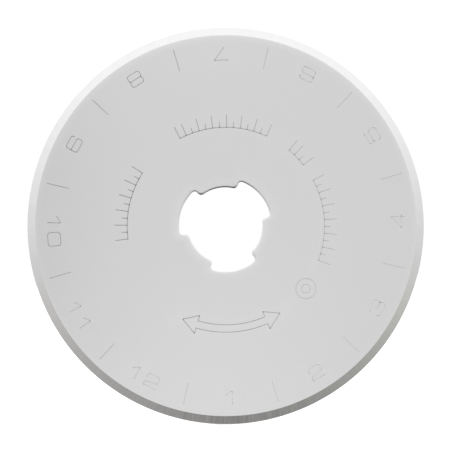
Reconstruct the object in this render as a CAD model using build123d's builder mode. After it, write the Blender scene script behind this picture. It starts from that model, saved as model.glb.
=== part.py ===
from build123d import *
import os
from math import asin, cos, degrees, radians, sin

# Rotary cutter blade, 45 mm: one ground steel disc with a three-lobed arbor hole and a marked face.
#
# The blade stands upright like a wheel. Its axis is Y and the origin is on the axis at
# mid-thickness. The marked front face looks along -Y, and +Z is up, through the numeral 7.
# Millimetres. Angles are in degrees, anticlockwise from +X as seen on the marked face.

# ---- disc and cutting edge ----
blade_diameter = 45.0
blade_thickness = 0.30
bevel_width = 0.88  # ground ring on each side, measured along the radius
edge_land = 0.006  # what is left of the rim between the two bevels

blade_radius = blade_diameter / 2
half_thickness = blade_thickness / 2
front_y, back_y = -half_thickness, half_thickness

# ---- arbor hole: a round hole with lobes for the cutter's drive washer ----
hole_radius = 4.25
lobe_radius = 5.23
lobe_count = 3
lobe_width_deg = 60.8  # angle each lobe takes of the circle
lobe_centre_deg = 40.0  # middle of the first lobe
lobe_inner_fillet = 0.52  # convex steel corner, at the round hole's radius
lobe_outer_fillet = 0.34  # concave steel corner, at the lobe's radius
hole_die_roll = 0.08  # rounded edge on the front face, where the punch went in
hole_back_break = 0.02  # chamfered edge on the back face
hole_overcut = 1.0  # how far the cut runs past each face
hole_zone = lobe_radius + 1  # the hole's edges lie within this height above and below the axis

# ---- engraved lines, cut into the front face ----
mark_width = 0.08
mark_depth = 0.012
half_mark = mark_width / 2

# ---- dial of ticks and numerals ----
dial_steps = 12
dial_step_deg = 360 / dial_steps
dial_start_deg = 270  # the numeral 1, at the bottom
tick_inner, tick_outer = 18.33, 20.87  # radii where a tick starts and ends
numeral_radius = 19.54  # middle of a numeral
numeral_pair_deg = (-3.24, 2.86)  # shifts of the two digits of 10, 11 and 12

# ---- rolling-direction arrow: a curved band with a head at each end ----
arrow_start_deg, arrow_end_deg = 243.6, 300.2  # the two tips
arrow_radius = 11.65
arrow_shaft_half = 0.42
arrow_head_half = 1.05
arrow_head_deg = 8.5

# ---- datum: two concentric rings ----
datum_deg, datum_radius = 320.3, 11.55
datum_rings = (1.15, 0.50)

# ---- graduated arcs, with ticks that point outwards ----
scale_inner = 11.20  # radius of the arc line, where its ticks start
scale_short, scale_long = 11.85, 12.65  # radii where short and long ticks end
scale_step_deg = 4.0
scale_arcs = ((338.0, 12), (36.5, 3), (64.0, 13), (146.0, 10))  # start angle, number of steps

# ---- single-line digits, centred on the origin ----
# Each stroke is "open" or "closed" and a run of (x, y, corner radius) points.
# The two ends of an open stroke have no corner, so their radius is 0.
DIGITS = {
    "0": [
        ("closed", [
            (-0.772, -0.72, 0.32), (0.772, -0.72, 0.32), (0.772, 0.72, 0.32), (-0.772, 0.72, 0.32),
        ]),
    ],
    "1": [
        ("open", [(-0.5, 0.33, 0), (0.21, 0.82, 0.08), (0.21, -0.68, 0)]),
    ],
    "2": [
        ("open", [
            (-0.688, 0.25, 0), (-0.688, 0.71, 0.26), (0.781, 0.71, 0.34), (0.781, -0.086, 0.24),
            (-0.744, -0.23, 0.32), (-0.744, -0.71, 0.08), (0.781, -0.71, 0),
        ]),
    ],
    "3": [
        ("open", [
            (-0.744, 0.403, 0), (-0.744, 0.71, 0.24), (0.725, 0.71, 0.24),
            (0.725, 0.0, 0.16), (-0.112, 0.0, 0),
        ]),
        ("open", [
            (0.372, 0.0, 0), (0.772, 0.0, 0.18), (0.772, -0.71, 0.26),
            (-0.763, -0.71, 0.24), (-0.763, -0.365, 0),
        ]),
    ],
    "4": [
        ("open", [(0.512, -0.72, 0), (0.512, 0.72, 0)]),
        ("open", [(0.512, 0.72, 0), (-0.744, -0.403, 0)]),
        ("open", [(-0.744, -0.403, 0), (0.725, -0.403, 0)]),
    ],
    "5": [
        ("open", [(0.688, 0.71, 0), (-0.698, 0.71, 0.08), (-0.67, 0.048, 0)]),
        ("open", [
            (-0.67, 0.048, 0), (-0.446, 0.192, 0.15), (0.763, 0.192, 0.28),
            (0.763, -0.71, 0.28), (-0.763, -0.71, 0.26), (-0.763, -0.365, 0),
        ]),
    ],
    "6": [
        ("open", [
            (0.735, 0.403, 0), (0.735, 0.71, 0.24), (-0.763, 0.71, 0.30), (-0.763, -0.71, 0.28),
            (0.763, -0.71, 0.28), (0.763, 0.019, 0.26), (-0.763, 0.019, 0),
        ]),
    ],
    "7": [
        ("open", [(-0.772, 0.71, 0), (0.772, 0.71, 0)]),
        ("open", [(0.772, 0.71, 0), (-0.335, -0.72, 0)]),
    ],
    "8": [
        ("closed", [
            (-0.753, 0.01, 0.24), (0.753, 0.01, 0.24), (0.753, 0.71, 0.26), (-0.753, 0.71, 0.26),
        ]),
        ("closed", [
            (-0.781, -0.71, 0.26), (0.781, -0.71, 0.26), (0.781, 0.01, 0.24), (-0.781, 0.01, 0.24),
        ]),
    ],
    "9": [
        ("open", [
            (-0.735, -0.403, 0), (-0.735, -0.71, 0.24), (0.763, -0.71, 0.30), (0.763, 0.71, 0.28),
            (-0.763, 0.71, 0.28), (-0.763, -0.019, 0.26), (0.763, -0.019, 0),
        ]),
    ],
}


def on_circle(radius, angle_deg):
    return (radius * cos(radians(angle_deg)), radius * sin(radians(angle_deg)))


def radial(radius, angle_deg, turn_deg=0):
    """A place on a circle whose x axis points outwards, turned further by turn_deg."""
    return Location((*on_circle(radius, angle_deg), 0), (0, 0, angle_deg + turn_deg))


def outline(shape):
    """Add the engraved line that runs round a shape to the current sketch."""
    offset(shape, amount=half_mark, mode=Mode.ADD)
    offset(shape, amount=-half_mark, mode=Mode.SUBTRACT)


def corners_at(sketch, radius):
    return [v for v in sketch.vertices() if abs(Vector(*v).length - radius) < 1e-3]


def hole_rim(part, face_y):
    """The arbor hole's edges that lie in the face at this y."""
    rim = []
    for edge in part.edges():
        box = edge.bounding_box()
        in_face = abs(box.min.Y - face_y) < 1e-4 and abs(box.max.Y - face_y) < 1e-4
        if in_face and box.min.Z > -hole_zone and box.max.Z < hole_zone:
            rim.append(edge)
    return rim


def digit_shape(strokes):
    """A digit as a flat shape, its strokes one mark wide."""
    with BuildSketch() as digit:
        for kind, points in strokes:
            path = [(x, y) for x, y, _ in points]
            corner_radii = [corner for _, _, corner in points]
            if kind == "closed":
                with BuildSketch(mode=Mode.PRIVATE) as bowl:
                    with BuildLine():
                        FilletPolyline(path, radius=corner_radii, close=True)
                    make_face()
                outline(bowl.sketch)
            else:
                with BuildLine():
                    if len(path) == 2:
                        Line(*path)
                    else:
                        FilletPolyline(path, radius=corner_radii[1:-1])
                trace(line_width=mark_width)
    return digit.sketch


def double_arrow():
    """The area inside the rolling-direction arrow."""
    neck_start = arrow_start_deg + arrow_head_deg
    neck_end = arrow_end_deg - arrow_head_deg
    shaft_in, shaft_out = arrow_radius - arrow_shaft_half, arrow_radius + arrow_shaft_half
    head_in, head_out = arrow_radius - arrow_head_half, arrow_radius + arrow_head_half
    with BuildSketch() as arrow:
        with BuildLine():
            CenterArc((0, 0), shaft_out, neck_start, neck_end - neck_start)
            Polyline(
                on_circle(shaft_out, neck_end),
                on_circle(head_out, neck_end),
                on_circle(arrow_radius, arrow_end_deg),
                on_circle(head_in, neck_end),
                on_circle(shaft_in, neck_end),
            )
            CenterArc((0, 0), shaft_in, neck_start, neck_end - neck_start)
            Polyline(
                on_circle(shaft_in, neck_start),
                on_circle(head_in, neck_start),
                on_circle(arrow_radius, arrow_start_deg),
                on_circle(head_out, neck_start),
                on_circle(shaft_out, neck_start),
            )
        make_face()
    return arrow.sketch


digit_shapes = {figure: digit_shape(strokes) for figure, strokes in DIGITS.items()}
arrow_shape = double_arrow()
front_face = Plane.XZ.offset(half_thickness)

with BuildPart() as blade:
    # disc with a double bevel, turned about Y
    bevel_start = blade_radius - bevel_width
    with BuildSketch(Plane.XY):
        with BuildLine():
            Polyline(
                (0, front_y),
                (bevel_start, front_y),
                (blade_radius, -edge_land / 2),
                (blade_radius, edge_land / 2),
                (bevel_start, back_y),
                (0, back_y),
                close=True,
            )
        make_face()
    revolve(axis=Axis.Y)

    # arbor hole: a circle and a pie slice for each lobe
    with BuildSketch(Plane.XZ) as arbor_hole:
        Circle(hole_radius)
        for k in range(lobe_count):
            lobe_start = lobe_centre_deg + k * 360 / lobe_count - lobe_width_deg / 2
            with BuildLine():
                Line((0, 0), on_circle(lobe_radius, lobe_start))
                CenterArc((0, 0), lobe_radius, lobe_start, lobe_width_deg)
                Line(on_circle(lobe_radius, lobe_start + lobe_width_deg), (0, 0))
            make_face()
        fillet(corners_at(arbor_hole, lobe_radius), lobe_outer_fillet)
        fillet(corners_at(arbor_hole, hole_radius), lobe_inner_fillet)
    extrude(amount=half_thickness + hole_overcut, both=True, mode=Mode.SUBTRACT)

    fillet(hole_rim(blade, front_y), hole_die_roll)
    chamfer(hole_rim(blade, back_y), hole_back_break)

    # dial: the numerals 1 to 12, their tops towards the hole, and a tick between every two
    with BuildSketch(front_face):
        with PolarLocations((tick_inner + tick_outer) / 2, dial_steps, start_angle=dial_step_deg / 2):
            Rectangle(tick_outer - tick_inner, mark_width)
        for number in range(1, dial_steps + 1):
            angle = dial_start_deg + (number - 1) * dial_step_deg
            figures = str(number)
            shifts = numeral_pair_deg if len(figures) == 2 else (0,)
            for figure, shift in zip(figures, shifts):
                with Locations(radial(numeral_radius, angle + shift, turn_deg=90)):
                    add(digit_shapes[figure])
    extrude(amount=-mark_depth, mode=Mode.SUBTRACT)

    # inner marks: the arrow, the datum rings and the graduated arcs
    with BuildSketch(front_face):
        outline(arrow_shape)
        with Locations(on_circle(datum_radius, datum_deg)):
            for ring in datum_rings:
                Circle(ring + half_mark)
                Circle(ring - half_mark, mode=Mode.SUBTRACT)

        line_in, line_out = scale_inner - half_mark, scale_inner + half_mark
        # each arc runs on by half a line's width, to close the corners of its end ticks
        lip = degrees(asin(half_mark / scale_inner))
        for start, steps in scale_arcs:
            line_start = start - lip
            line_end = start + steps * scale_step_deg + lip
            with BuildLine():
                CenterArc((0, 0), line_in, line_start, line_end - line_start)
                Line(on_circle(line_in, line_end), on_circle(line_out, line_end))
                CenterArc((0, 0), line_out, line_start, line_end - line_start)
                Line(on_circle(line_out, line_start), on_circle(line_in, line_start))
            make_face()
            # every second tick is long, and so is the last
            for k in range(steps + 1):
                tick_end = scale_long if k % 2 == 0 or k == steps else scale_short
                with Locations(radial((scale_inner + tick_end) / 2, start + k * scale_step_deg)):
                    Rectangle(tick_end - scale_inner, mark_width)
    extrude(amount=-mark_depth, mode=Mode.SUBTRACT)

blade.part.label = "blade"

os.makedirs("parts", exist_ok=True)
export_step(blade.part, "parts/blade.step")
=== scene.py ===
"""Looks for a 45 mm rotary cutter blade: a round steel sheet with a ground edge, a three-lobed hole
and an engraved dial.

The disc stands upright, centred on the origin with its axis along Y. The marked front face looks
to -Y, X runs to its right and Z up. The blade is built in millimetres, in the plane (x, z), and
turned into metres when its mesh is made. Angles are in degrees, anticlockwise from +X seen from
the front.
"""

import math

import bpy
import numpy as np
from mathutils import Matrix, Vector
from mathutils.geometry import delaunay_2d_cdt


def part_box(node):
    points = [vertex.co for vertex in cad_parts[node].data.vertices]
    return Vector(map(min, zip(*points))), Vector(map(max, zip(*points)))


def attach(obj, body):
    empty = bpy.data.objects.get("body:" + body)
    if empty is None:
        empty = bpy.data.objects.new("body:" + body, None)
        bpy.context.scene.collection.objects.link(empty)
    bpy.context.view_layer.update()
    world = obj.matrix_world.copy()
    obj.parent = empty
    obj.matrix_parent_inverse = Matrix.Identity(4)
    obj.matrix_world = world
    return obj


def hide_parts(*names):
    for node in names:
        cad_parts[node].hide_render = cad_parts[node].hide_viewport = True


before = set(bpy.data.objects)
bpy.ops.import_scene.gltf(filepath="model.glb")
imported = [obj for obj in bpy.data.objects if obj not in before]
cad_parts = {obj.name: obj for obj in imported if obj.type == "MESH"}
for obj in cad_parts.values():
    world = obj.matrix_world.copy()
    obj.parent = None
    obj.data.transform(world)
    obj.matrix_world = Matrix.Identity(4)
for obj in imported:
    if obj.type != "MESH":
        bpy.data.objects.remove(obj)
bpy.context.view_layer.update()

MM = 0.001

# ------------------------------------------------------------------ sizes, millimetres and degrees
low_corner, high_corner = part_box("blade")
RADIUS = high_corner.x / MM
HALF = (high_corner.y - low_corner.y) / 2 / MM  # half the sheet's thickness

# ground ring round the rim
BEVEL_W = 0.88
BEVEL_IN = RADIUS - BEVEL_W
LAND = 0.003  # half the thickness left at the rim
RIM_N = 900
RING_OFF = np.array((0.016, 0.040))  # the front ring's inner edge runs this far off centre

# punched hole: a round wall with lobes
HOLE_R, LOBE_R, LOBE_HALF, LOBE_AT, LOBES = 4.25, 5.23, 30.4, 40.0, 3
INNER_FILLET, OUTER_FILLET = 0.52, 0.34
HOLE_OFF = (-0.045, 0.137)  # run-out from the ground rim's centre
ROLL_W, ROLL_D = 0.20, 0.11  # the rounded front edge, across the face and into the sheet
ROLL_STEPS = 12
# share by which that edge is wider at the inner fillets and narrower at the outer ones
SWELL_IN, SWELL_OUT = 0.50, -0.25
SWELL_BLEND, SWELL_DEPTH = 0.22, 0.45  # blending length along the wall, share taken by the depth
# beyond it the face sinks slightly towards the hole: distance from the wall, depth
SINK = ((0.20, 0.0032), (0.40, 0.0010), (0.56, 0.0003), (0.78, 0.0), (1.0, 0.0), (1.3, 0.0))
SINK_END = SINK[-1][0]
HOLE_BRIGHTENING_FALL = 1.3  # how fast the brightening round the hole fades with distance, as a power
# torn band of the wall: y, distance into the steel, roughness
TEAR_Y, TEAR_WANDER = 0.005, 0.012
TORN = ((0.035, 0.006, 0.002), (0.085, 0.012, 0.004), (0.125, 0.012, 0.003))
BREAK_OUT = 0.030  # the back edge, into the steel

# engraved lines
MARKS_OFF = (0.02, 0.0)  # run-out of all the marks
LINE_W = 0.08
# across a line: distance from its middle in half widths, depth below the face
PROFILE = ((1.06, 0.0), (0.94, 0.0024), (0.82, 0.0082), (0.68, 0.0113), (0.40, 0.0120))
GRID = 0.0125  # pitch of the grid the contours are drawn on
TOE_TOLERANCE, CONTOUR_TOLERANCE = 0.0010, 0.0007
# round a knot, where the marking tool stopped or turned: extra film, its spread, and how near
# to it an outline keeps some points on straight runs
KNOT_FILM, KNOT_SPREAD, KNOT_REACH = 0.30, 0.15, 0.34

HOUR = 30
TICK_IN, TICK_OUT, TICK_FROM = 18.33, 20.87, 15
NUMERAL_R, NUMERAL_FROM, NUMERAL_PAIR = 19.54, 270, (-3.24, 2.86)

# strokes of each figure, in millimetres from its middle: closed or not, (x, y, corner radius)
OPEN, CLOSED = False, True
DIGITS = {
    "0": [(CLOSED, [(-0.772, -0.72, 0.32), (0.772, -0.72, 0.32),
                    (0.772, 0.72, 0.32), (-0.772, 0.72, 0.32)])],
    "1": [(OPEN, [(-0.5, 0.33, 0), (0.21, 0.82, 0.08), (0.21, -0.68, 0)])],
    "2": [(OPEN, [(-0.688, 0.25, 0), (-0.688, 0.71, 0.26), (0.781, 0.71, 0.34),
                  (0.781, -0.086, 0.24), (-0.744, -0.23, 0.32), (-0.744, -0.71, 0.08),
                  (0.781, -0.71, 0)])],
    "3": [(OPEN, [(-0.744, 0.403, 0), (-0.744, 0.71, 0.24), (0.725, 0.71, 0.24),
                  (0.725, 0.0, 0.16), (-0.112, 0.0, 0)]),
          (OPEN, [(0.372, 0.0, 0), (0.772, 0.0, 0.18), (0.772, -0.71, 0.26),
                  (-0.763, -0.71, 0.24), (-0.763, -0.365, 0)])],
    "4": [(OPEN, [(0.512, -0.72, 0), (0.512, 0.72, 0)]),
          (OPEN, [(0.512, 0.72, 0), (-0.744, -0.403, 0)]),
          (OPEN, [(-0.744, -0.403, 0), (0.725, -0.403, 0)])],
    "5": [(OPEN, [(0.688, 0.71, 0), (-0.698, 0.71, 0.08), (-0.67, 0.048, 0)]),
          (OPEN, [(-0.67, 0.048, 0), (-0.446, 0.192, 0.15), (0.763, 0.192, 0.28),
                  (0.763, -0.71, 0.28), (-0.763, -0.71, 0.26), (-0.763, -0.365, 0)])],
    "6": [(OPEN, [(0.735, 0.403, 0), (0.735, 0.71, 0.24), (-0.763, 0.71, 0.30),
                  (-0.763, -0.71, 0.28), (0.763, -0.71, 0.28), (0.763, 0.019, 0.26),
                  (-0.763, 0.019, 0)])],
    "7": [(OPEN, [(-0.772, 0.71, 0), (0.772, 0.71, 0)]),
          (OPEN, [(0.772, 0.71, 0), (-0.335, -0.72, 0)])],
    "8": [(CLOSED, [(-0.753, 0.01, 0.24), (0.753, 0.01, 0.24),
                    (0.753, 0.71, 0.26), (-0.753, 0.71, 0.26)]),
          (CLOSED, [(-0.781, -0.71, 0.26), (0.781, -0.71, 0.26),
                    (0.781, 0.01, 0.24), (-0.781, 0.01, 0.24)])],
    "9": [(OPEN, [(-0.735, -0.403, 0), (-0.735, -0.71, 0.24), (0.763, -0.71, 0.30),
                  (0.763, 0.71, 0.28), (-0.763, 0.71, 0.28), (-0.763, -0.019, 0.26),
                  (0.763, -0.019, 0)])],
}
# knots besides the stroke ends and corners: x, y, weight against a plain one
SPOTS = {
    "1": [(0.21, 0.78, 1.7), (0.21, -0.2, 0.35)],
    "3": [(0.74, 0.0, 2.0)],
    "4": [(-0.744, -0.403, 1.7), (0.512, -0.403, 0.9)],
    "7": [(0.72, 0.71, 1.1)],
    "8": [(-0.753, 0.01, 1.5), (0.753, 0.01, 1.5)],
}

# how heavy the grey film is in each tick, anticlockwise from TICK_FROM, and in each figure of
# 1 2 3 ... 10 11 12
TICK_FILM = (-0.018, 0.033, -0.036, 0.041, -0.022, -0.016,
             -0.013, 0.049, 0.058, 0.075, -0.003, -0.021)
FIGURE_FILM = (-0.025, -0.002, -0.072, -0.094, -0.042, -0.061, -0.051, -0.015,
               -0.007, -0.104, -0.015, -0.185, -0.08, -0.062, -0.075)

# a curved arrow with a head at each end
ARROW_FROM, ARROW_TO, ARROW_R, SHAFT_HALF, HEAD_HALF, HEAD_DEG = 243.6, 300.2, 11.65, 0.42, 1.05, 8.5
ARROW_FILM = 0.28
# two circles, one in the other
CIRCLES_AT, CIRCLES_R, CIRCLE_RADII, CIRCLE_FILM = 320.3, 11.55, (1.15, 0.50), 0.10
# combs: an arc with teeth pointing outwards, every other one long; start angle and gaps of each
COMB_IN, COMB_SHORT, COMB_LONG, COMB_STEP, COMB_FILM = 11.20, 11.85, 12.65, 4.0, 0.07
COMBS = ((338.0, 12), (36.5, 3), (64.0, 13), (146.0, 10))

# rings of loose points that keep the flat parts in well shaped triangles
LOOSE_RINGS = (7.1, 7.7, 8.4, 9.2, 10.0, 13.3, 14.2, 15.1, 16.0, 16.9, 17.6, 21.2)
LOOSE_PITCH = 0.95
BACK_RINGS = np.arange(6.0, 21.2, 0.95)
BACK_PITCH = 1.1


# ------------------------------------------------------------------ lines of the marking
NO_KNOTS = np.empty((0, 3))


def polar(r, deg):
    return np.array((r * math.cos(math.radians(deg)), r * math.sin(math.radians(deg))))


def arc(r, start, end, centre=(0.0, 0.0), sag=0.0006):
    turn_per_step = 2 * math.acos(max(-1, 1 - sag / r))
    count = max(2, math.ceil(math.radians(abs(end - start)) / turn_per_step) + 1)
    angles = np.radians(np.linspace(start, end, count))
    return np.stack((centre[0] + r * np.cos(angles), centre[1] + r * np.sin(angles)), 1)


def rounded(points, closed):
    """A run of (x, y, corner radius) as a fine polyline."""
    out, count = [], len(points)
    for i, (x, y, r) in enumerate(points):
        corner = np.array((x, y), float)
        if r == 0 or (not closed and i in (0, count - 1)):
            out.append(corner[None])
            continue
        back = np.array(points[i - 1][:2], float) - corner
        ahead = np.array(points[(i + 1) % count][:2], float) - corner
        back, ahead = back / np.linalg.norm(back), ahead / np.linalg.norm(ahead)
        half = math.acos(np.clip(back @ ahead, -1, 1)) / 2
        reach = r / math.tan(half)
        centre = corner + (back + ahead) / np.linalg.norm(back + ahead) * (r / math.sin(half))
        start, end = corner + back * reach - centre, corner + ahead * reach - centre
        start_deg = math.degrees(math.atan2(start[1], start[0]))
        end_deg = math.degrees(math.atan2(end[1], end[0]))
        end_deg = start_deg + (end_deg - start_deg + 180) % 360 - 180
        out.append(arc(r, start_deg, end_deg, centre))
    path = np.concatenate(out)
    return np.concatenate((path, path[:1])) if closed else path


def placed(path, deg):
    """A figure's line on the dial, its top towards the hole."""
    turn = math.radians(deg + 90)
    matrix = np.array(((math.cos(turn), -math.sin(turn)), (math.sin(turn), math.cos(turn))))
    return path @ matrix.T + polar(NUMERAL_R, deg)


def as_knots(points):
    return np.array([(x, y, 1.0) for x, y in points])


# each mark is a list of polylines that may touch one another, how heavy its film is, and its
# knots as (x, y, weight)
def ticks():
    for k, film in enumerate(TICK_FILM):
        deg = TICK_FROM + HOUR * k
        ends = (polar(TICK_IN + LINE_W / 2, deg), polar(TICK_OUT - LINE_W / 2, deg))
        yield [np.array(ends)], film, NO_KNOTS


def numerals():
    films = iter(FIGURE_FILM)
    for number in range(1, 13):
        text = str(number)
        for i, figure in enumerate(text):
            deg = NUMERAL_FROM + HOUR * (number - 1) + (NUMERAL_PAIR[i] if len(text) == 2 else 0)
            strokes = DIGITS[figure]
            spots = [(x, y, 1.0) for _, points in strokes for x, y, _ in points]
            spots = np.array(spots + SPOTS.get(figure, []))
            knots = np.column_stack((placed(spots[:, :2], deg), spots[:, 2]))
            lines = [placed(rounded(points, closed), deg) for closed, points in strokes]
            yield lines, next(films), knots


def arrow():
    neck_from, neck_to = ARROW_FROM + HEAD_DEG, ARROW_TO - HEAD_DEG
    corners = [
        polar(ARROW_R + HEAD_HALF, neck_to),
        polar(ARROW_R, ARROW_TO),
        polar(ARROW_R - HEAD_HALF, neck_to),
        polar(ARROW_R - HEAD_HALF, neck_from),
        polar(ARROW_R, ARROW_FROM),
        polar(ARROW_R + HEAD_HALF, neck_from),
    ]
    outline = (
        arc(ARROW_R + SHAFT_HALF, neck_from, neck_to),
        corners[:3],
        arc(ARROW_R - SHAFT_HALF, neck_to, neck_from),
        corners[3:],
        [polar(ARROW_R + SHAFT_HALF, neck_from)],
    )
    yield [np.concatenate(outline)], ARROW_FILM, as_knots(corners)


def circles():
    for r in CIRCLE_RADII:
        yield [arc(r, 0, 360, polar(CIRCLES_R, CIRCLES_AT))], CIRCLE_FILM, NO_KNOTS


def combs():
    for start, gaps in COMBS:
        lines = [arc(COMB_IN, start, start + gaps * COMB_STEP)]
        for k in range(gaps + 1):
            deg = start + k * COMB_STEP
            top = COMB_LONG if k % 2 == 0 or k == gaps else COMB_SHORT
            lines.append(np.array((polar(COMB_IN, deg), polar(top - LINE_W / 2, deg))))
        yield lines, COMB_FILM, as_knots([tooth[0] for tooth in lines[1:]])


# ------------------------------------------------------------------ contours round the lines
def distance_field(lines, reach=0.13):
    """Distance from a grid of points to the nearest of the lines, and the grid's low corner."""
    points = np.concatenate(lines)
    low = np.floor((points.min(0) - reach) / GRID).astype(int)
    high = np.ceil((points.max(0) + reach) / GRID).astype(int)
    width, height = high - low + 1
    field = np.full((height, width), 9.0)
    for line in lines:
        for start, end in zip(line[:-1], line[1:]):
            along = end - start
            length2 = along @ along
            if length2 < 1e-14:
                continue
            first = np.floor((np.minimum(start, end) - reach) / GRID).astype(int) - low
            first = np.maximum(first, 0)
            last = np.ceil((np.maximum(start, end) + reach) / GRID).astype(int) - low + 1
            last = np.minimum(last, (width, height))
            xs = (np.arange(first[0], last[0]) + low[0]) * GRID
            ys = (np.arange(first[1], last[1]) + low[1]) * GRID
            from_x, from_y = xs[None, :] - start[0], ys[:, None] - start[1]
            share = np.clip((from_x * along[0] + from_y * along[1]) / length2, 0, 1)
            distance = np.hypot(from_x - share * along[0], from_y - share * along[1])
            part = field[first[1] : last[1], first[0] : last[0]]
            np.minimum(part, distance, out=part)
    return field, low * GRID


def contour_loops(field, origin, level):
    """Closed loops where the field crosses level, by marching squares."""
    height, width = field.shape
    # crossings on grid edges, keyed by cell corner and direction: even along x, odd along y
    points = {}
    for odd, (di, dj) in enumerate(((0, 1), (1, 0))):
        here, there = field[: height - di, : width - dj], field[di:, dj:]
        i, j = np.nonzero((here < level) != (there < level))
        share = (level - here[i, j]) / (there[i, j] - here[i, j])
        xs = (origin[0] + (j + share * dj) * GRID).tolist()
        ys = (origin[1] + (i + share * di) * GRID).tolist()
        points.update(zip(((i * width + j) * 2 + odd).tolist(), zip(xs, ys)))

    inside = field < level
    code = inside[:-1, :-1] * 1 + inside[:-1, 1:] * 2 + inside[1:, 1:] * 4 + inside[1:, :-1] * 8
    cell_i, cell_j = np.nonzero((code > 0) & (code < 15))
    near = {}
    for i, j, kind in zip(cell_i.tolist(), cell_j.tolist(), code[cell_i, cell_j].tolist()):
        corner = (i * width + j) * 2
        sides = (corner, corner + 3, corner + 2 * width, corner + 1)
        if kind in (5, 10):  # a saddle: the cell's mean says which corners join
            centre_in = field[i : i + 2, j : j + 2].mean() < level
            order = (0, 1, 2, 3) if (kind == 5) == centre_in else (3, 0, 1, 2)
            ends = [sides[side] for side in order]
        else:
            ends = [side for side in sides if side in points]
        for one, other in zip(ends[::2], ends[1::2]):
            near.setdefault(one, []).append(other)
            near.setdefault(other, []).append(one)

    loops, seen = [], set()
    for start in near:
        if start in seen:
            continue
        loop, here, last = [], start, None
        while here not in seen:
            seen.add(here)
            loop.append(points[here])
            onward = [key for key in near[here] if key != last and (key not in seen or key == start)]
            if not onward:
                break
            last, here = here, onward[0]
        loops.append(np.array(loop))
    return loops


def spacing(points, knots):
    """Distance from every point to every knot."""
    return np.hypot(points[:, None, 0] - knots[None, :, 0], points[:, None, 1] - knots[None, :, 1])


def thinned(loop, tolerance, knots=NO_KNOTS):
    """The loop without the points on straight runs (Douglas-Peucker), save a few near a knot."""
    loop = loop[np.hypot(*(loop - np.roll(loop, 1, 0)).T) > 1e-5]
    count = len(loop)
    if count < 8:
        return loop
    far = int(np.argmax(((loop - loop[0]) ** 2).sum(1)))
    closed = np.concatenate((loop, loop[:1]))
    keep = np.zeros(count + 1, bool)
    keep[[0, far, count]] = True
    stack = [(0, far), (far, count)]
    while stack:
        start, end = stack.pop()
        if end - start < 2:
            continue
        chord = closed[end] - closed[start]
        length = math.hypot(*chord)
        rest = closed[start + 1 : end] - closed[start]
        if length > 1e-9:
            off = np.abs(rest[:, 0] * chord[1] - rest[:, 1] * chord[0]) / length
        else:
            off = np.hypot(*rest.T)
        widest = int(np.argmax(off))
        if off[widest] > tolerance:
            split = start + 1 + widest
            keep[split] = True
            stack += [(start, split), (split, end)]
    if len(knots):
        for i in np.flatnonzero(spacing(closed, knots).min(1) < KNOT_REACH):
            if not keep[max(0, i - 8) : i + 9].any():
                keep[i] = True
    return closed[:-1][keep[:-1]]


# ------------------------------------------------------------------ the hole's outline
def turn_between(start, end, share):
    """The unit vector start turned by a share of the way to end, the short way."""
    start_turn, end_turn = math.atan2(start[1], start[0]), math.atan2(end[1], end[0])
    turn = start_turn + ((end_turn - start_turn + math.pi) % (2 * math.pi) - math.pi) * share
    return np.array((math.cos(turn), math.sin(turn)))


def fillet_seat(fillet, wall_r, into):
    """A fillet's centre radius, its angle from the lobe's side, and where on the side it ends."""
    centre_r = wall_r - into * fillet
    offset = math.degrees(math.asin(fillet / centre_r))
    return centre_r, offset, math.sqrt(centre_r**2 - fillet**2)


def hole_outline():
    """The wall, anticlockwise: points, the direction into the steel at each, and the swell."""
    rows = []
    # fillet, wall radius, side of the wall the steel is on seen from the fillet's centre, swell
    inner = (INNER_FILLET, HOLE_R, -1, SWELL_IN)
    outer = (OUTER_FILLET, LOBE_R, 1, SWELL_OUT)
    _, inner_deg, side_in = fillet_seat(*inner[:3])
    _, outer_deg, side_out = fillet_seat(*outer[:3])

    def round_wall(r, angles):
        rows.extend((polar(r, deg), polar(1, deg), 0.0) for deg in angles)

    def corner(kind, edge, lobe_side, shares):
        """Fillet at a lobe's edge; lobe_side is 1 where the lobe starts and -1 where it ends."""
        fillet, wall_r, into, swell = kind
        centre_r, offset, side_r = fillet_seat(fillet, wall_r, into)
        deg = edge + into * lobe_side * offset
        centre = polar(centre_r, deg)
        start, end = into * polar(1, deg), (polar(side_r, edge) - centre) / fillet
        if into * lobe_side > 0:  # here the walk comes off the lobe's side
            start, end = end, start
        for share in shares:
            way = turn_between(start, end, share)
            rows.append((centre + way * fillet, into * way, swell))

    def side_wall(edge, lobe_side, start, end):
        turn = math.radians(edge)
        across = lobe_side * np.array((math.sin(turn), -math.cos(turn)))
        for share in np.linspace(0, 1, 6)[1:-1]:
            rows.append((polar(start + (end - start) * share, edge), across, 0.0))

    pitch = 360 / LOBES
    for k in range(LOBES):
        middle = LOBE_AT + pitch * k
        first, last = middle - LOBE_HALF, middle + LOBE_HALF
        previous_last = middle - pitch + LOBE_HALF
        round_wall(HOLE_R, np.linspace(previous_last + inner_deg, first - inner_deg, 50))
        corner(inner, first, 1, np.linspace(0, 1, 13)[1:])
        side_wall(first, 1, side_in, side_out)
        corner(outer, first, 1, np.linspace(0, 1, 11))
        round_wall(LOBE_R, np.linspace(first + outer_deg, last - outer_deg, 52)[1:-1])
        corner(outer, last, -1, np.linspace(0, 1, 11))
        side_wall(last, -1, side_out, side_in)
        corner(inner, last, -1, np.linspace(0, 1, 13)[:-1])
    return tuple(np.array(column) for column in zip(*rows))


def blended(swell, outline):
    """The swell smoothed along the outline, so that the rounded edge widens gradually."""
    step = np.hypot(*(np.roll(outline, -1, 0) - outline).T)
    run = np.concatenate(([0.0], np.cumsum(step)))
    gap = np.abs(run[:-1, None] - run[None, :-1])
    nearness = np.exp(-((np.minimum(gap, run[-1] - gap) / SWELL_BLEND) ** 2))
    weight = nearness * ((step + np.roll(step, 1)) / 2)
    return weight @ swell / weight.sum(1)


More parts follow.
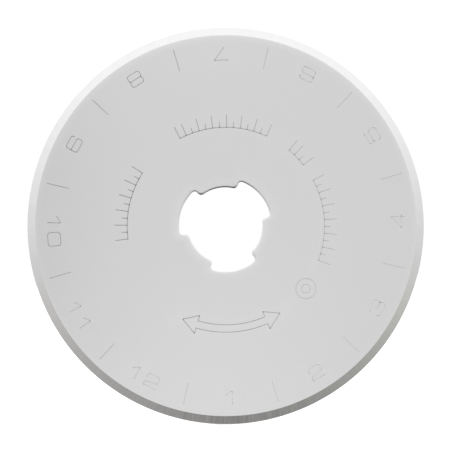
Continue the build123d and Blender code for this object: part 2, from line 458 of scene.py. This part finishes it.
hole_xy, hole_n, swell = hole_outline()
hole_xy = hole_xy + HOLE_OFF
HOLE_N = len(hole_xy)
swell = blended(swell, hole_xy)
roll_w, roll_d = ROLL_W * (1 + swell), ROLL_D * (1 + SWELL_DEPTH * swell)


# ------------------------------------------------------------------ the front face's points
# "film" is how heavy the grey film in a channel is; on the plain face it is how much lighter the
# face is drawn round the hole. "level" counts a mark's contours inwards from 1, and is 0 elsewhere.
face_xy, face_y, face_level, face_film, face_edges = [], [], [], [], []


def add_loop(points, y, level, film=0.0, knots=NO_KNOTS):
    first, count = len(face_xy), len(points)
    film = np.full(count, film)
    if len(knots):
        nearness = np.exp(-((spacing(points, knots) / KNOT_SPREAD) ** 2))
        film = film + KNOT_FILM * (knots[:, 2] * nearness).max(1)
    face_film.extend(film.tolist())
    face_xy.extend(map(tuple, points))
    face_y.extend([y] * count)
    face_level.extend([level] * count)
    face_edges.extend((first + i, first + (i + 1) % count) for i in range(count))
    return range(first, first + count)


def loose_ring(r, pitch, odd):
    """Points evenly round a circle, half a step on where odd."""
    count = int(2 * math.pi * r / pitch)
    return [polar(r, 360 * (i + 0.5 * odd) / count) for i in range(count)]


def burnished(points, share):
    """How much lighter the face is drawn round the hole: most on the left, least at top and bottom.
    """
    turn = np.arctan2(points[:, 1], points[:, 0])
    return share * (0.92 - 0.12 * np.cos(turn) + 0.17 * np.cos(2 * turn))


for source in (ticks, numerals, arrow, circles, combs):
    for lines, film, knots in source():
        knots = knots + (*MARKS_OFF, 0.0)
        field, origin = distance_field([line + MARKS_OFF for line in lines])
        for k, (distance, depth) in enumerate(PROFILE):
            for loop in contour_loops(field, origin, distance * LINE_W / 2):
                loop = thinned(loop, CONTOUR_TOLERANCE if k else TOE_TOLERANCE, knots)
                if len(loop) >= 3:
                    add_loop(loop, -HALF + depth, k + 1, film, knots)

rim_turn = np.arange(RIM_N) * (2 * math.pi / RIM_N)
rim_dir = np.stack((np.cos(rim_turn), np.sin(rim_turn)), 1)
rim_points = add_loop(rim_dir * BEVEL_IN + RING_OFF, -HALF, 0)

roll_edge = hole_xy + hole_n * roll_w[:, None]
hole_points = add_loop(roll_edge, -HALF + SINK[0][1], 0, burnished(roll_edge, 1.0))
field, origin = distance_field([np.concatenate((hole_xy, hole_xy[:1]))], reach=1.4)
for distance, depth in SINK[1:]:
    outer = max(contour_loops(field, origin, distance), key=lambda loop: np.ptp(loop[:, 0]))
    outer = thinned(outer, TOE_TOLERANCE)
    share = ((SINK_END - distance) / (SINK_END - SINK[0][0])) ** HOLE_BRIGHTENING_FALL
    add_loop(outer, -HALF + depth, 0, burnished(outer, share))

for r in LOOSE_RINGS:
    for point in loose_ring(r, LOOSE_PITCH, int(r * 10) % 2):
        face_xy.append(tuple(point))
        face_y.append(-HALF)
        face_level.append(0)
        face_film.append(0.0)


# ------------------------------------------------------------------ triangles of a flat side
def in_polygon(points, outline):
    x, y = points[:, 0][:, None], points[:, 1][:, None]
    x0, y0 = outline[:, 0], outline[:, 1]
    x1, y1 = np.roll(x0, -1), np.roll(y0, -1)
    rise = np.where(y1 == y0, 1e-12, y1 - y0)
    crossed = ((y0 > y) != (y1 > y)) & (x < (x1 - x0) * (y - y0) / rise + x0)
    return crossed.sum(1) % 2 == 1


def triangulated(points, edges, hole_first, facing):
    """Delaunay triangles with the hole left open, facing -Y (facing 1) or +Y (facing -1).

    Returns the joined points, the triangles and the given points that each joined one came from.
    """
    result = delaunay_2d_cdt([Vector(p) for p in points], edges, [], 0, 1e-6)
    xy = np.array([(v.x, v.y) for v in result[0]])
    tris, sources = np.array(result[2]), result[3]
    hole = range(hole_first, hole_first + HOLE_N)
    on_hole = np.array([any(old in hole for old in olds) for olds in sources])
    outline = np.array(points[hole_first : hole_first + HOLE_N])
    tris = tris[~(on_hole[tris].all(1) & in_polygon(xy[tris].mean(1), outline))]
    one, two, three = (xy[tris[:, i]] for i in range(3))
    to_two, to_three = two - one, three - one
    area = to_two[:, 0] * to_three[:, 1] - to_two[:, 1] * to_three[:, 0]
    turned = area * facing < 0
    tris[turned] = tris[turned][:, ::-1]
    return xy, tris, sources


# ------------------------------------------------------------------ the whole mesh
STEEL, GROUND, ENGRAVED, SHEARED = range(4)
verts, faces, face_material = [], [], []  # millimetres, as (x, y, z)
sharp = set()


def add_ring(xy, y):
    first = len(verts)
    ys = np.broadcast_to(y, (len(xy),))
    verts.extend((x, depth, z) for (x, z), depth in zip(np.asarray(xy).tolist(), ys.tolist()))
    return np.arange(first, first + len(xy))


def strip(left, right, material):
    """Quads between two rings; seen from outside, going anticlockwise, left is on the left."""
    for i in range(len(left)):
        j = (i + 1) % len(left)
        faces.append((int(left[i]), int(right[i]), int(right[j]), int(left[j])))
        face_material.append(material)


def crease_edge(one, other):
    sharp.add((min(one, other), max(one, other)))


def crease(ring):
    for one, other in zip(ring, np.roll(ring, -1)):
        crease_edge(int(one), int(other))


def front_face():
    """The marked face; returns its rings of points at the hole and at the ground ring."""
    xy, tris, sources = triangulated(face_xy, face_edges, hole_points[0], facing=1)
    # a point the triangulation added has no source, and lies on the flat
    level = np.array([face_level[olds[0]] if olds else -1 for olds in sources])
    ys = [face_y[olds[0]] if olds else -HALF for olds in sources]
    verts.extend((x, y, z) for (x, z), y in zip(xy.tolist(), ys))
    in_groove = level[tris].max(1) >= 2  # inside the outermost contour
    for tri, groove in zip(tris.tolist(), in_groove.tolist()):
        faces.append(tuple(tri))
        face_material.append(ENGRAVED if groove else STEEL)
    joined = {old: new for new, olds in enumerate(sources) for old in olds}
    # the marks' outer toe is a crease, so that the flat face stays flat in shading
    for start, end in face_edges:
        if face_level[start] == 1:
            crease_edge(joined[start], joined[end])
    film = [face_film[olds[0]] if olds else 0.0 for olds in sources]
    hole_ring = np.array([joined[i] for i in hole_points])
    rim_ring = np.array([joined[i] for i in rim_points])
    return hole_ring, rim_ring, film


def ground_ring(rim_ring):
    """A true cone on the front and on the back; returns the ring where the flat back begins."""
    fall = (HALF - LAND) / BEVEL_W
    # distance out from the cone's start, depth below the face
    stations = ((0.05, 0.05 * fall), (0.44, 0.44 * fall), (BEVEL_W, HALF - LAND))
    front, back = [rim_ring], []
    for across, down in stations:
        off = RING_OFF * (1 - across / BEVEL_W)
        front.append(add_ring(rim_dir * (BEVEL_IN + across) + off, -HALF + down))
    for across, down in reversed(stations):
        back.append(add_ring(rim_dir * (BEVEL_IN + across), HALF - down))
    back.append(add_ring(rim_dir * BEVEL_IN, HALF))
    rings = front + back
    for left, right in zip(rings[:-1], rings[1:]):
        strip(left, right, GROUND)
    for ring in (front[0], front[-1], back[0], back[-1]):
        crease(ring)
    return back[-1]


rng = np.random.default_rng(45)


def wander(size, smooth):
    """Smoothed random values round the hole, at most size."""
    values = rng.normal(size=HOLE_N)
    window = np.hanning(smooth * 2 + 1)
    wrapped = np.concatenate((values[-smooth:], values, values[:smooth]))
    values = np.convolve(wrapped, window / window.sum(), "valid")
    return values / np.abs(values).max() * size


def hole_wall(hole_ring):
    """Rolled front edge, smooth band, torn band and broken back edge; returns the back ring."""
    previous = hole_ring
    for share in np.linspace(0, 1, ROLL_STEPS + 1)[1:]:
        turn = share * math.pi / 2
        out = (roll_w * (1 - math.sin(turn)))[:, None]
        y = -HALF + SINK[0][1] + roll_d * (1 - math.cos(turn))
        ring = add_ring(hole_xy + hole_n * out, y)
        strip(ring, previous, STEEL)
        previous = ring
    tear = TEAR_Y + wander(TEAR_WANDER, 9)
    ring = add_ring(hole_xy, tear)
    strip(ring, previous, SHEARED)
    crease(ring)
    previous = ring
    for y, depth, rough in TORN:
        out = (depth + wander(rough, 3))[:, None]
        ring = add_ring(hole_xy + hole_n * out, y + 0.3 * tear)
        strip(ring, previous, SHEARED)
        previous = ring
    end = add_ring(hole_xy + hole_n * BREAK_OUT, HALF)
    strip(end, previous, SHEARED)
    crease(end)
    return end


def plain_back(rim_ring, hole_ring):
    points = [tuple(p) for p in rim_dir * BEVEL_IN]
    points += [tuple(p) for p in hole_xy + hole_n * BREAK_OUT]
    edges = [(i, (i + 1) % RIM_N) for i in range(RIM_N)]
    edges += [(RIM_N + i, RIM_N + (i + 1) % HOLE_N) for i in range(HOLE_N)]
    ids = [*rim_ring, *hole_ring]
    for r in BACK_RINGS:
        for point in loose_ring(r, BACK_PITCH, int(round(r * 20)) % 2):
            points.append(tuple(point))
            ids.append(len(verts))
            verts.append((point[0], HALF, point[1]))
    _, tris, sources = triangulated(points, edges, RIM_N, facing=-1)
    to_vert = np.array([ids[olds[0]] for olds in sources])
    for tri in to_vert[tris].tolist():
        faces.append(tuple(tri))
        face_material.append(STEEL)


hole_front, rim_front, film_values = front_face()
rim_back = ground_ring(rim_front)
hole_back = hole_wall(hole_front)
plain_back(rim_back, hole_back)

mesh = bpy.data.meshes.new("blade_disc")
mesh.from_pydata([Vector(v) * MM for v in verts], [], faces)
mesh.polygons.foreach_set("material_index", face_material)
mesh.polygons.foreach_set("use_smooth", [True] * len(mesh.polygons))
flag = mesh.attributes.get("sharp_edge") or mesh.attributes.new("sharp_edge", "BOOLEAN", "EDGE")
ends = np.empty(len(mesh.edges) * 2, np.int32)
mesh.edges.foreach_get("vertices", ends)
ends = np.sort(ends.reshape(-1, 2), 1)
flag.data.foreach_set("value", [(int(a), int(b)) in sharp for a, b in ends])
film_values += [1.0] * (len(verts) - len(film_values))
mesh.attributes.new("film", "FLOAT", "POINT").data.foreach_set("value", film_values)
mesh.validate()
mesh.update()
blade = bpy.data.objects.new("blade_disc", mesh)
bpy.context.scene.collection.objects.link(blade)


# ------------------------------------------------------------------ writing node trees
def reckoner(operation, flipped=False):
    def reckon(self, other):
        return self.nodes.math(operation, *((other, self) if flipped else (self, other)))

    return reckon


class Value:
    """An output socket; arithmetic with it makes Math nodes."""

    def __init__(self, nodes, socket):
        self.nodes, self.socket = nodes, socket

    __add__, __radd__ = reckoner("ADD"), reckoner("ADD", flipped=True)
    __sub__, __rsub__ = reckoner("SUBTRACT"), reckoner("SUBTRACT", flipped=True)
    __mul__, __rmul__ = reckoner("MULTIPLY"), reckoner("MULTIPLY", flipped=True)
    __truediv__, __pow__ = reckoner("DIVIDE"), reckoner("POWER")

    def __abs__(self):
        return self.nodes.math("ABSOLUTE", self)


class Nodes:
    """A short way to write a node tree."""

    def __init__(self, tree):
        self.tree = tree
        tree.nodes.clear()

    def add(self, kind, inputs=(), **settings):
        node = self.tree.nodes.new(kind)
        for name, setting in settings.items():
            setattr(node, name, setting)
        for key, value in inputs.items() if isinstance(inputs, dict) else enumerate(inputs):
            if isinstance(value, Value):
                self.tree.links.new(value.socket, node.inputs[key])
            else:
                node.inputs[key].default_value = value
        return node

    def value(self, kind, inputs=(), output=0, **settings):
        return Value(self, self.add(kind, inputs, **settings).outputs[output])

    def math(self, operation, *values):
        return self.value("ShaderNodeMath", values, operation=operation)

    def split(self, vector):
        node = self.add("ShaderNodeSeparateXYZ", (vector,))
        return [Value(self, socket) for socket in node.outputs]

    def stretched(self, vector, factors):
        return self.value("ShaderNodeVectorMath", (vector, factors), operation="MULTIPLY")

    def noise(self, vector, scale, detail=3.0, rough=0.6):
        inputs = {"Vector": vector, "Scale": scale, "Detail": detail, "Roughness": rough}
        return self.value("ShaderNodeTexNoise", inputs, "Fac")

    def span(self, value, of=(0.0, 1.0), to=(0.0, 1.0), kind="LINEAR"):
        """A value mapped from one range to another."""
        ends = {"From Min": of[0], "From Max": of[1], "To Min": to[0], "To Max": to[1]}
        return self.value("ShaderNodeMapRange", {"Value": value, **ends}, interpolation_type=kind)

    def tint(self, colour, value):
        """A colour multiplied by a value."""
        grey = self.value("ShaderNodeCombineColor", (value, value, value))
        inputs = {0: 1.0, 6: colour, 7: grey}  # share, and the two colours
        return self.value("ShaderNodeMix", inputs, 2, data_type="RGBA", blend_type="MULTIPLY")


def swing(noise, by):
    """A noise centred on nought, by in all."""
    return (noise - 0.5) * by


def from_axis(n, x, z):
    return n.math("SQRT", x * x + z * z)


# ------------------------------------------------------------------ materials
FACE_COLOUR = (0.72, 0.72, 0.72, 1.0)
# painted shading: the face's slow change of brightness across the disc, as light falls on it
# unevenly: its value in the middle, and powers of x and z, as shares of the radius below, with how
# much of each
FACE_SHADING_R = 21.6
FACE_SHADING_MIDDLE = 1.005
FACE_SHADING_TERMS = ((1, 0, 0.0117), (0, 1, -0.0738), (2, 0, -0.0682), (1, 1, 0.0125), (0, 2, 0.0345),
        (3, 0, 0.0273), (2, 1, 0.0362), (1, 2, -0.0334), (0, 3, 0.0230))


# painted shading: the face drawn to grow slowly lighter and darker across the disc, as light falls
# on it
def face_tone(n, x, z):
    across, up = x / FACE_SHADING_R, z / FACE_SHADING_R
    total = FACE_SHADING_MIDDLE
    for across_power, up_power, share in FACE_SHADING_TERMS:
        term = share
        for _ in range(across_power):
            term = across * term
        for _ in range(up_power):
            term = up * term
        total = term + total
    return total


def steel(name):
    """A new material, its nodes, and the place on the blade in millimetres."""
    material = bpy.data.materials.new(name)
    material.use_nodes = True
    n = Nodes(material.node_tree)
    place = n.value("ShaderNodeTexCoord", output="Object")
    return material, n, n.stretched(place, (1000.0, 1000.0, 1000.0))


def finish(n, colour, rough, relief, depth):
    """Shader and output; relief is the bump's height, and depth its size in metres."""
    bump = n.value("ShaderNodeBump", {"Strength": 1.0, "Distance": depth, "Height": relief})
    look = {"Base Color": colour, "Metallic": 1.0, "Roughness": rough, "Normal": bump}
    n.add("ShaderNodeOutputMaterial", (n.value("ShaderNodeBsdfPrincipled", look),))


def satin_steel():
    """The face: cold-rolled and tumbled, very even."""
    material, n, mm = steel("satin_steel")
    x, _, z = n.split(mm)
    grain = n.noise(mm, scale=9.0, detail=4.0)
    cloud = n.noise(mm, scale=0.16, rough=0.5)
    rolled = n.noise(n.stretched(mm, (7.0, 7.0, 0.12)), scale=1.0)  # drawn out up the face
    mottle = swing(grain, by=0.035) + swing(cloud, by=0.02) + swing(rolled, by=0.012)
    hole_brightening_gain = 0.05
    hole_brightening = n.value("ShaderNodeAttribute", output="Fac", attribute_name="film") * hole_brightening_gain
    # the last millimetre of the face is drawn lighter, and lighter still at the top, where that
    # extra is painted light from above
    edge_band_gain, painted_top_light = 0.047, 0.038
    reach = n.span(from_axis(n, x, z), of=(20.7, 21.62))
    edge_band_and_top_light = reach * reach * (edge_band_gain + z / FACE_SHADING_R * painted_top_light)
    # the last term is the painted shading across the face
    level = mottle + (hole_brightening + edge_band_and_top_light) + face_tone(n, x, z)
    base_rough = 0.31
    rough = base_rough + (swing(grain, by=0.10) + swing(cloud, by=0.06))
    relief = grain * 0.7 + rolled * 0.3  # shares of each in the bump
    finish(n, n.tint(FACE_COLOUR, level), rough, relief, depth=0.0000012)
    return material


def ground_steel():
    """The ground ring: fine lines across it, heaviest at the bottom."""
    material, n, mm = steel("ground_steel")
    x, _, z = n.split(mm)
    r = from_axis(n, x, z)
    # a place on the unit circle, leaning a little with the radius so that the lines slant
    lean_from, lean_rate = 22.0, 0.006
    lean = (r - lean_from) * lean_rate
    across, up = x / r, z / r
    around_scale, outward_scale = 22.0, 0.06
    leant_across, leant_up = across - up * lean, up + across * lean
    place = (leant_across * around_scale, r * outward_scale, leant_up * around_scale)
    around = n.value("ShaderNodeCombineXYZ", place)
    fine = n.noise(around, scale=5.0)
    broad = n.noise(around, scale=1.1, detail=2.0, rough=0.5)

    def towards(along_x, along_z, tightness):
        """A soft spot on the ring, round one direction from the middle."""
        return n.math("MAXIMUM", up * along_z + across * along_x, 0.0) ** tightness

    everywhere, at_heaviest = 0.14, 1.0  # weight of the lines
    heaviest = towards(along_x=-0.05, along_z=-0.985, tightness=10.0)
    weight = everywhere + heaviest * at_heaviest
    streak = swing(fine, by=0.45) + swing(broad, by=0.40)
    glint = 0.09  # painted highlight: the ring is drawn brighter at the bottom left
    bright = towards(along_x=-0.292, along_z=-0.956, tightness=60.0)
    # the last term is the painted highlight
    level = 1.0 + streak * weight + bright * glint
    # the lower part is a shade warmer, with a greenish cast at both ends
    grey, warm_red, red_lost = 0.725, 0.026, 0.014
    cast_middle = 0.03  # the cast is even about this far left of the middle
    below = n.span(up, of=(-0.18, -0.42))
    green = n.span(abs(across + cast_middle), of=(0.14, 0.32), to=(0.25, 1.0))
    right = n.span(across, of=(-0.35, 0.05))
    channels = (
        grey + below * (warm_red - green * red_lost),
        grey + below * (green * n.span(right, to=(0.004, 0.012))),
        grey + below * n.span(right, to=(-0.010, -0.016)),
    )
    colour = n.tint(n.value("ShaderNodeCombineColor", channels), level)
    base_rough = 0.17
    finish(n, colour, base_rough + swing(fine, by=0.10), fine, depth=0.0000008)
    return material


def engraved_steel():
    """The channels: a dull grey film, heavier towards the upper left."""
    material, n, mm = steel("engraved_steel")
    x, _, z = n.split(mm)
    film = n.value("ShaderNodeAttribute", output="Fac", attribute_name="film")
    blotch = n.noise(mm, scale=1.1)
    speck = n.noise(mm, scale=28.0)
    r = from_axis(n, x, z)
    across, up = x / r, z / r
    # how the film changes round the dial: once round, then twice round
    by_across, by_up, by_squares, by_product = -0.1355, 0.0984, 0.0228, -0.0516
    dark = film + (across * by_across + up * by_up)
    dark = dark + (across * across - up * up) * by_squares
    dark = dark + across * up * by_product
    dark = dark + swing(blotch, by=0.04) + swing(speck, by=0.10)
    # painted shade in the channels: seen at a slant they are drawn darker, in place of the shade in
    # their recess
    incoming = n.value("ShaderNodeNewGeometry", output="Incoming")
    incoming = n.value("ShaderNodeVectorTransform", {"Vector": incoming},
                       vector_type="VECTOR", convert_from="WORLD", convert_to="OBJECT")
    along_axis = abs(n.split(incoming)[1])
    dark = dark + n.span(along_axis, of=(0.94, 0.5), to=(0.0, 0.28))
    clean, base_rough = 0.785, 0.42
    # the marks take the face's painted shading too
    level = (clean - dark) * face_tone(n, x, z)
    rough = base_rough + swing(speck, by=0.2)
    finish(n, n.tint(FACE_COLOUR, level), rough, speck, depth=0.0000015)
    return material


def sheared_steel():
    """The hole's wall: a burnished band, then a torn one."""
    material, n, mm = steel("sheared_steel")
    torn = n.span(n.split(mm)[1], of=(0.0, 0.04))
    pits = n.noise(mm, scale=22.0, detail=4.0, rough=0.65)
    drag = n.noise(n.stretched(mm, (12.0, 1.0, 12.0)), scale=1.0)  # drawn out along the axis
    level = n.span(torn, to=(1.0, 0.78)) + swing(drag, by=0.25)
    colour = n.tint((0.68, 0.68, 0.67, 1.0), level)
    relief = drag * 0.5 + pits * torn * 1.5  # shares of each in the bump
    finish(n, colour, n.span(torn, to=(0.28, 0.6)), relief, depth=0.000006)
    return material


# in the order of STEEL, GROUND, ENGRAVED, SHEARED
for make in (satin_steel, ground_steel, engraved_steel, sheared_steel):
    mesh.materials.append(make())

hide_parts("blade")
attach(blade, "root")

# ------------------------------------------------------------------ stage
scene = bpy.context.scene
scene.view_settings.view_transform = "Standard"
scene.view_settings.look = "None"
scene.view_settings.exposure = 0
scene.view_settings.gamma = 1

FLOOR_RADII, FLOOR_N = (0.03, 0.08, 0.2, 0.5, 1.2, 2.6), 96  # metres


def pale_floor():
    """A pale round floor under the rim."""
    floor_mesh = bpy.data.meshes.new("floor")
    floor_z = -RADIUS * MM
    turns = [2 * math.pi * i / FLOOR_N for i in range(FLOOR_N)]
    points = [(0, 0, floor_z)]
    for r in FLOOR_RADII:
        points += [(r * math.cos(turn), r * math.sin(turn), floor_z) for turn in turns]
    polygons = [(0, 1 + i, 1 + (i + 1) % FLOOR_N) for i in range(FLOOR_N)]
    for k in range(len(FLOOR_RADII) - 1):
        inner = 1 + k * FLOOR_N
        outer = inner + FLOOR_N
        for i in range(FLOOR_N):
            j = (i + 1) % FLOOR_N
            polygons.append((inner + i, outer + i, outer + j, inner + j))
    floor_mesh.from_pydata(points, [], polygons)
    floor = bpy.data.objects.new("floor", floor_mesh)
    scene.collection.objects.link(floor)
    paper = bpy.data.materials.new("pale_floor")
    paper.use_nodes = True
    shader = paper.node_tree.nodes["Principled BSDF"]
    shader.inputs["Base Color"].default_value = (0.86, 0.86, 0.86, 1)
    shader.inputs["Roughness"].default_value = 0.9
    shader.inputs["Specular IOR Level"].default_value = 0.0
    floor_mesh.materials.append(paper)
    floor.visible_glossy = False


pale_floor()

# what the studio sends into the steel from in front of the blade (-Y), beside it and behind it:
# height as the sine of the elevation, radiance
FRONT = (
    (-1.0, 0.05), (-0.55, 0.06), (-0.41, 0.16), (-0.343, 0.28), (-0.318, 0.346),
    (-0.298, 0.402), (-0.277, 0.443), (-0.228, 0.490), (-0.163, 0.614), (-0.085, 0.780),
    (0.0, 0.947), (0.087, 1.083), (0.170, 1.178), (0.243, 1.240), (0.300, 1.278),
    (0.347, 1.290), (0.45, 1.31), (0.7, 1.31), (1.0, 1.31),
)
SIDE = (
    (-1.0, 0.12), (-0.8, 0.45), (-0.6, 0.70), (-0.45, 0.78), (-0.3, 0.86),
    (0.0, 0.92), (0.15, 1.02), (0.3, 1.12), (1.0, 1.3),
)
BACK = (
    (-1.0, 0.06), (-0.6, 0.22), (-0.45, 0.45), (-0.3, 0.72), (-0.15, 0.86), (0.0, 0.93),
    (0.15, 1.08), (0.3, 1.20), (0.6, 1.28), (1.0, 1.31),
)
RAMP_TOP = 1.5  # radiance that a ramp's white stands for
FILL = 1.75  # light on the floor
BACKDROP = 1.02  # white seen by the camera
LEAN_ACROSS, LEAN_MOST = 0.04, 0.12  # brightening to the right, limit of the whole lean


def ramp(n, stations, value):
    node = n.add("ShaderNodeValToRGB", (n.span(value, of=(-1, 1)),))
    stops = node.color_ramp.elements
    while len(stops) > 1:
        stops.remove(stops[-1])
    for i, (height, radiance) in enumerate(stations):
        position = (height + 1) / 2
        stop = stops[0] if i == 0 else stops.new(position)
        stop.position = position
        stop.color = (radiance / RAMP_TOP,) * 3 + (1,)
    return n.value("ShaderNodeSeparateColor", (Value(n, node.outputs[0]),)) * RAMP_TOP


def between(start, end, share):
    return start * (1.0 - share) + end * share


def studio():
    """White all round to the eye; in the steel, bright above and falling off below."""
    world = bpy.data.worlds.new("studio")
    scene.world = world
    world.use_nodes = True
    world.cycles.sampling_method = "NONE"
    n = Nodes(world.node_tree)
    x, y, z = n.split(n.value("ShaderNodeTexCoord", output="Generated"))
    front, side, back = (ramp(n, stations, z) for stations in (FRONT, SIDE, BACK))
    # the front is a little brighter at the lower left, and to the right
    lean = x * z * n.span(z, of=(-0.05, 0.05), to=(0.7, -0.1)) + x * LEAN_ACROSS
    lean = n.math("MINIMUM", n.math("MAXIMUM", lean, -LEAN_MOST), LEAN_MOST)
    front = front * (1.0 + lean)
    beside_middle = 0.03  # the front is even about this far left of the middle
    beside = n.span(abs(x + beside_middle), of=(0.35, 0.47), kind="SMOOTHSTEP")
    behind = n.span(y, of=(0.05, 0.35), kind="SMOOTHSTEP")
    side = side * n.span(x, of=(-0.96, -0.84), to=(0.6, 1.0))  # dimmer at the far left
    rear = between(back, side, n.span(abs(x), of=(0.80, 0.90)))
    seen = between(between(front, side, beside), rear, behind)
    path = n.add("ShaderNodeLightPath")
    eye, shine = (Value(n, path.outputs[name]) for name in ("Is Camera Ray", "Is Glossy Ray"))
    strength = seen * shine + FILL * (1.0 - shine)
    strength = strength * (1.0 - eye) + BACKDROP * eye
    sky = n.value("ShaderNodeBackground", {"Color": (1, 1, 1, 1), "Strength": strength})
    n.add("ShaderNodeOutputWorld", (sky,))


studio()

# camera: square on to the marked face, a long lens, rolled a little so that the dial leans
FRAME_W = 51.32 * MM
DISTANCE = 1.0
ROLL = math.radians(1.6)
SENSOR_W = 36
AIM_X, AIM_Z = 0.044 * MM, -0.003 * MM


def add_camera():
    data = bpy.data.cameras.new("camera")
    data.sensor_width = SENSOR_W
    data.lens = SENSOR_W * DISTANCE / FRAME_W
    data.clip_start, data.clip_end = 0.01, 20
    camera = bpy.data.objects.new("camera", data)
    scene.collection.objects.link(camera)
    right = Vector((math.cos(ROLL), 0, -math.sin(ROLL)))
    up = Vector((math.sin(ROLL), 0, math.cos(ROLL)))
    look = Vector((0, 1, 0))
    turn = Matrix((right, up, -look)).transposed().to_4x4()
    camera.matrix_world = Matrix.Translation(Vector((AIM_X, -DISTANCE, AIM_Z))) @ turn
    scene.camera = camera


add_camera()
